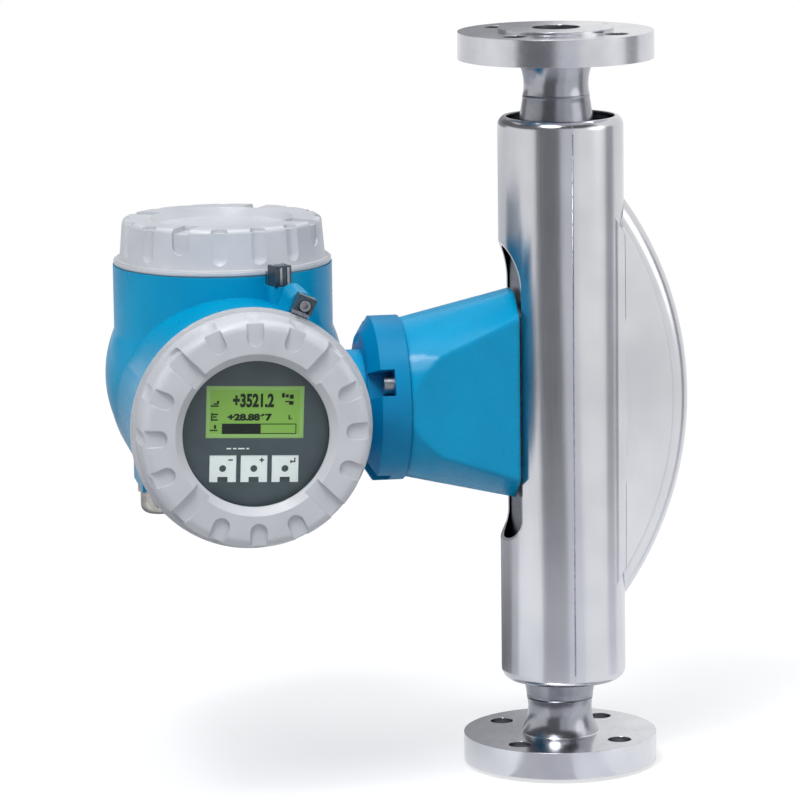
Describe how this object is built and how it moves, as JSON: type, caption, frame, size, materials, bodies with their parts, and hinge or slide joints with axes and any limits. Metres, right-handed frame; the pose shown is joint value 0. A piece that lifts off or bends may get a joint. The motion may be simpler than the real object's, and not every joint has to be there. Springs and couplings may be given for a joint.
{
  "type": "coriolis flow meter",
  "caption": "Inline Coriolis mass flow meter with a bent-tube sensor between pipe flanges and a side-mounted swivelling display transmitter",
  "frame": {"origin": "centre of the inlet flange's sealing face, on the pipe axis", "axes": "+Z along the pipe axis from inlet to outlet, -X towards the transmitter, -Y the side the display faces"},
  "size_m": [0.3414, 0.217, 0.44],
  "materials": {
    "flange_steel": "turned",
    "manifold_steel": "cast and machined",
    "tube_alloy": "drawn",
    "frame_steel": "mill",
    "shell_steel": "brushed sheet",
    "screw_steel": "plated",
    "coil_copper": "enamelled winding",
    "magnet_metal": "plain",
    "sensor_ceramic": "glazed",
    "housing_paint": "semi-gloss blue powder coat",
    "ring_paint": "semi-gloss blue powder coat",
    "cover_paint": "semi-gloss light grey powder coat",
    "window_glass": "clear",
    "black_plastic": "fine grain",
    "bezel_plastic": "satin dark grey",
    "lcd_glass": "backlit liquid crystal",
    "key_plastic": "satin",
    "circuit_board": "solder mask",
    "seal_rubber": "matte",
    "clamp_coating": "black coat",
    "ring_nylon": "plain",
    "gland_nickel": "nickel plate",
    "terminal_brass": "plain"
  },
  "bodies": {
    "sensor": {"inlet_flange": "flange_steel", "outlet_flange": "flange_steel", "inlet_manifold": "manifold_steel", "outlet_manifold": "manifold_steel", "front_measuring_tube": "tube_alloy", "rear_measuring_tube": "tube_alloy", "inlet_tie_plate": "frame_steel", "outlet_tie_plate": "frame_steel", "drive_coil": "coil_copper", "drive_magnet": "magnet_metal", "inlet_pickup_coil": "coil_copper", "inlet_pickup_magnet": "magnet_metal", "outlet_pickup_coil": "coil_copper", "outlet_pickup_magnet": "magnet_metal", "temperature_sensor": "sensor_ceramic", "inner_frame": "frame_steel", "shroud_shell": "shell_steel", "bulge_shell": "shell_steel", "sensor_foot_pad": "frame_steel", "feedthrough": "screw_steel", "signal_cable": "seal_rubber", "sensor_neck": "housing_paint", "neck_seal": "seal_rubber", "swivel_ring": "ring_paint", "ring_screws": "screw_steel"},
    "transmitter": {"transmitter_housing": "housing_paint", "display_bezel": "bezel_plastic", "lcd_panel": "lcd_glass", "touch_keys": "key_plastic", "display_board": "circuit_board", "display_mount": "black_plastic", "board_carrier": "black_plastic", "power_board": "circuit_board", "amplifier_board": "circuit_board", "io_board": "circuit_board", "terminal_plate": "black_plastic", "terminal_block": "black_plastic", "ground_terminal": "terminal_brass", "left_gland_body": "gland_nickel", "left_gland_plug": "seal_rubber", "right_gland_body": "gland_nickel", "right_gland_plug": "seal_rubber"},
    "front_cover_travel": {"front_seal": "seal_rubber"},
    "front_cover": {"front_cover": "cover_paint", "cover_window": "window_glass", "window_retainer": "black_plastic"},
    "terminal_cover_travel": {"terminal_seal": "seal_rubber"},
    "terminal_cover": {"terminal_cover": "cover_paint"},
    "front_clamp": {"front_clamp": "clamp_coating", "front_claw": "screw_steel"},
    "front_clamp_screw": {"front_clamp_screw": "screw_steel"},
    "top_clamp": {"top_clamp": "clamp_coating", "top_claw": "screw_steel"},
    "top_clamp_screw": {"top_clamp_screw": "screw_steel"},
    "left_gland_travel": {"left_gland_ring": "ring_nylon"},
    "left_gland_nut": {"left_gland_nut": "gland_nickel"},
    "right_gland_travel": {"right_gland_ring": "ring_nylon"},
    "right_gland_nut": {"right_gland_nut": "gland_nickel"}
  },
  "joints": [
    {"name": "transmitter_swivel", "type": "hinge", "parent": "sensor", "child": "transmitter", "pos_m": [-0.1, 0, 0.2245], "axis": [1, 0, 0], "range_deg": [-180, 180]},
    {"name": "front_cover_slide", "type": "slide", "parent": "transmitter", "child": "front_cover_travel", "axis": [0, -1, 0], "range_m": [0, 0.0135]},
    {"name": "front_cover_turn", "type": "hinge", "parent": "front_cover_travel", "child": "front_cover", "pos_m": [-0.1935, -0.0805, 0.2245], "axis": [0, -1, 0], "range_deg": [0, 3240]},
    {"name": "terminal_cover_slide", "type": "slide", "parent": "transmitter", "child": "terminal_cover_travel", "axis": [0, 0, 1], "range_m": [0, 0.0135]},
    {"name": "terminal_cover_turn", "type": "hinge", "parent": "terminal_cover_travel", "child": "terminal_cover", "pos_m": [-0.1935, 0.04, 0.3025], "axis": [0, 0, 1], "range_deg": [0, 3240]},
    {"name": "front_clamp_slide", "type": "slide", "parent": "transmitter", "child": "front_clamp", "axis": [0.4067, 0, 0.9135], "range_m": [0, 0.002]},
    {"name": "front_clamp_screw_turn", "type": "hinge", "parent": "transmitter", "child": "front_clamp_screw", "pos_m": [-0.16243, -0.0805, 0.29429], "axis": [0, -1, 0], "range_deg": [0, 360]},
    {"name": "top_clamp_slide", "type": "slide", "parent": "transmitter", "child": "top_clamp", "axis": [0.342, -0.9397, 0], "range_m": [0, 0.002]},
    {"name": "top_clamp_screw_turn", "type": "hinge", "parent": "transmitter", "child": "top_clamp_screw", "pos_m": [-0.16899, -0.02733, 0.3025], "axis": [0, 0, 1], "range_deg": [0, 360]},
    {"name": "left_gland_slide", "type": "slide", "parent": "transmitter", "child": "left_gland_travel", "axis": [0, 0, -1], "range_m": [0, 0.0075]},
    {"name": "left_gland_turn", "type": "hinge", "parent": "left_gland_travel", "child": "left_gland_nut", "pos_m": [-0.2315, 0.056, 0.1675], "axis": [0, 0, -1], "range_deg": [0, 1800]},
    {"name": "right_gland_slide", "type": "slide", "parent": "transmitter", "child": "right_gland_travel", "axis": [0, 0, -1], "range_m": [0, 0.0075]},
    {"name": "right_gland_turn", "type": "hinge", "parent": "right_gland_travel", "child": "right_gland_nut", "pos_m": [-0.1555, 0.056, 0.1675], "axis": [0, 0, -1], "range_deg": [0, 1800]}
  ],
  "couplings": [
    {"joint": "front_cover_turn", "follows": "front_cover_slide", "rad_per_m": 4188.8},
    {"joint": "terminal_cover_turn", "follows": "terminal_cover_slide", "rad_per_m": 4188.8},
    {"joint": "left_gland_turn", "follows": "left_gland_slide", "rad_per_m": 4188.8},
    {"joint": "right_gland_turn", "follows": "right_gland_slide", "rad_per_m": 4188.8}
  ]
}
